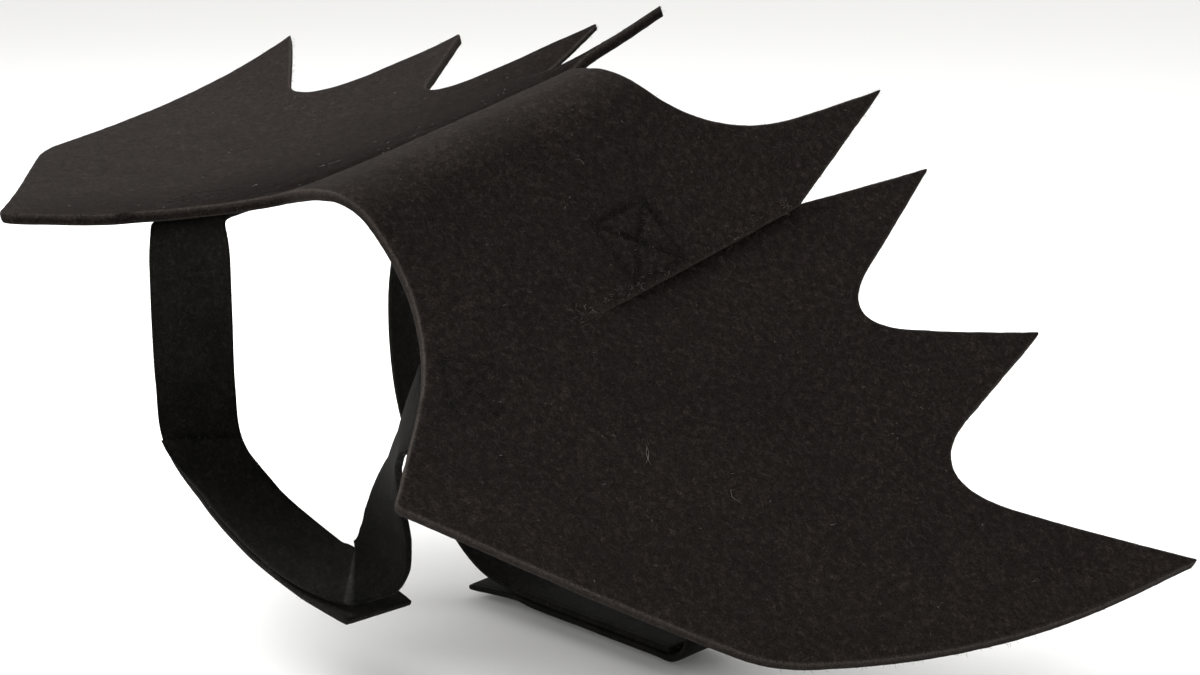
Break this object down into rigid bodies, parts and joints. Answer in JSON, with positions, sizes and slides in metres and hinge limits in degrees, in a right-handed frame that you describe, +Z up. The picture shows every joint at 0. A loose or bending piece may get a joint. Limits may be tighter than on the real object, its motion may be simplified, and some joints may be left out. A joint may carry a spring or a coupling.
{
  "type": "pet bat wings",
  "caption": "Felt bat wings for a small pet: a thick scalloped felt sheet bent over the back, with a lapped dart in each wing and tape loops for neck and belly.",
  "frame": {"origin": "on the felt's underside, under the middle of the back ridge, where the wearer's back holds it", "axes": "+Z up, -Y the way the wearer looks, +X across the wings toward the drooping right wing"},
  "size_m": [0.3237, 0.1906, 0.1513],
  "materials": {
    "felt": "thick matt felt with fine fibres and soft cut edges",
    "tape": "woven hook-and-loop tape, matt"
  },
  "bodies": {
    "root": {"wing_sheet": "felt", "front_strap_left": "tape", "front_strap_right": "tape", "belly_strap_left": "tape", "belly_strap_right": "tape"}
  },
  "joints": []
}
